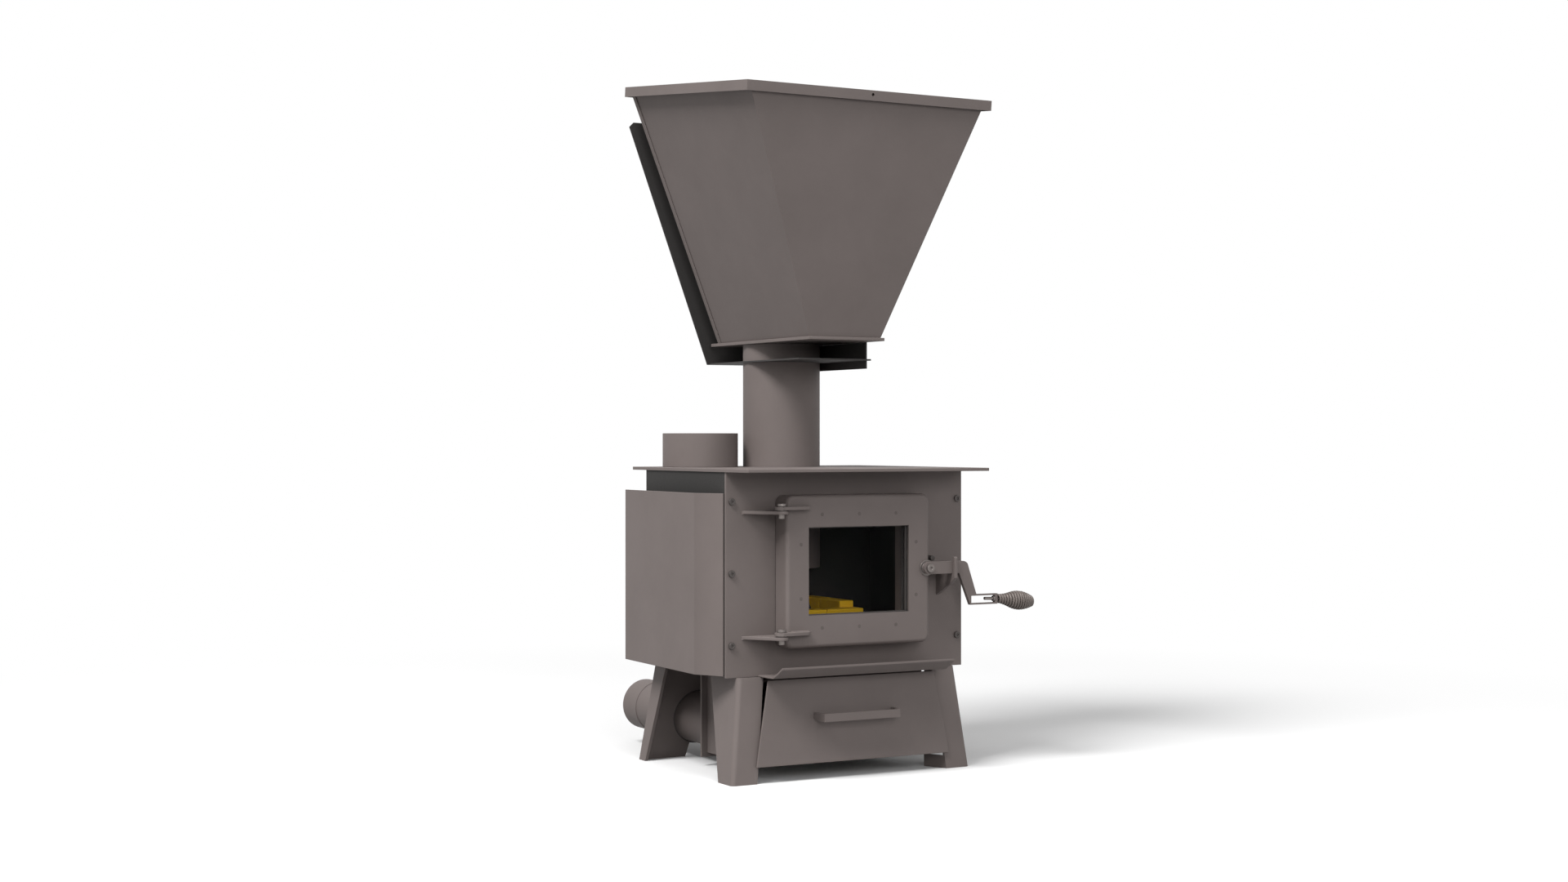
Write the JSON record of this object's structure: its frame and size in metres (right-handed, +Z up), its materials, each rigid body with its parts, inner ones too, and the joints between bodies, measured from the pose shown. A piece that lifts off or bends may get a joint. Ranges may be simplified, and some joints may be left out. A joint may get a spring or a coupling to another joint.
{
  "type": "pellet stove",
  "caption": "Gravity fed pellet stove: a plate steel firebox on splayed legs with a glazed latched door, ash drawer, feed tube, flue collar and tall tapered hopper with a lift-off lid.",
  "frame": {"origin": "middle of the bounding box in X and Y, on the floor under the feet", "axes": "+Z up, -Y towards the door, +X towards the latch"},
  "size_m": [0.678, 0.6882, 1.3254],
  "materials": {
    "stove_paint": "matte",
    "dark_paint": "matte",
    "bare_steel": "satin",
    "cast_iron": "rough",
    "firebrick": "matte",
    "window_glass": "gloss",
    "rope_seal": "matte"
  },
  "bodies": {
    "stove_body": {"firebox": "stove_paint", "front_plate": "stove_paint", "top_plate": "stove_paint", "feed_tube": "stove_paint", "flue_collar": "stove_paint", "left_side_shield": "stove_paint", "right_side_shield": "stove_paint", "ash_lip": "stove_paint", "front_left_leg": "stove_paint", "front_right_leg": "stove_paint", "rear_left_leg": "stove_paint", "rear_right_leg": "stove_paint", "air_intake_pipe": "stove_paint", "body_hinge_tabs": "stove_paint", "catch_plate": "stove_paint", "hopper_shell": "stove_paint", "hopper_rear_panel": "stove_paint", "hopper_flange": "stove_paint", "ash_box": "dark_paint", "ash_neck": "dark_paint", "feed_chute": "dark_paint", "hopper_heat_shield": "dark_paint", "shield_spacers": "bare_steel", "plate_screws": "bare_steel", "hinge_pins": "bare_steel", "hinge_washers": "bare_steel", "hopper_spacers": "bare_steel", "flange_bolts": "bare_steel", "fire_grate": "cast_iron", "feed_ramp": "cast_iron", "front_firebricks": "firebrick", "side_firebricks": "firebrick", "rear_firebricks": "firebrick"},
    "door": {"door_panel": "stove_paint", "door_inner_frame": "dark_paint", "door_glass": "window_glass", "glass_retainer": "dark_paint", "retainer_bolts": "bare_steel", "door_seal": "rope_seal", "door_hinge_straps": "stove_paint", "latch_stud": "bare_steel", "latch_washers": "bare_steel"},
    "latch": {"latch_bar": "stove_paint", "grip_bolt": "bare_steel", "spring_grip": "bare_steel"},
    "ash_drawer": {"drawer_front": "stove_paint", "ash_pan": "dark_paint", "drawer_handle": "stove_paint"},
    "lid": {"hopper_lid": "stove_paint"}
  },
  "joints": [
    {"name": "door_hinge", "type": "hinge", "parent": "stove_body", "child": "door", "pos_m": [-0.219, -0.30085, 0.38], "axis": [0, 0, -1], "range_deg": [0, 110]},
    {"name": "latch_lift", "type": "hinge", "parent": "door", "child": "latch", "pos_m": [0.099, -0.30185, 0.38737], "axis": [0, -1, 0], "range_deg": [0, 50]},
    {"name": "drawer_slide", "type": "slide", "parent": "stove_body", "child": "ash_drawer", "axis": [0, -1, 0], "range_m": [0, 0.2]},
    {"name": "lid_lift", "type": "slide", "parent": "stove_body", "child": "lid", "axis": [0, 0, 1], "range_m": [0, 0.12]}
  ]
}
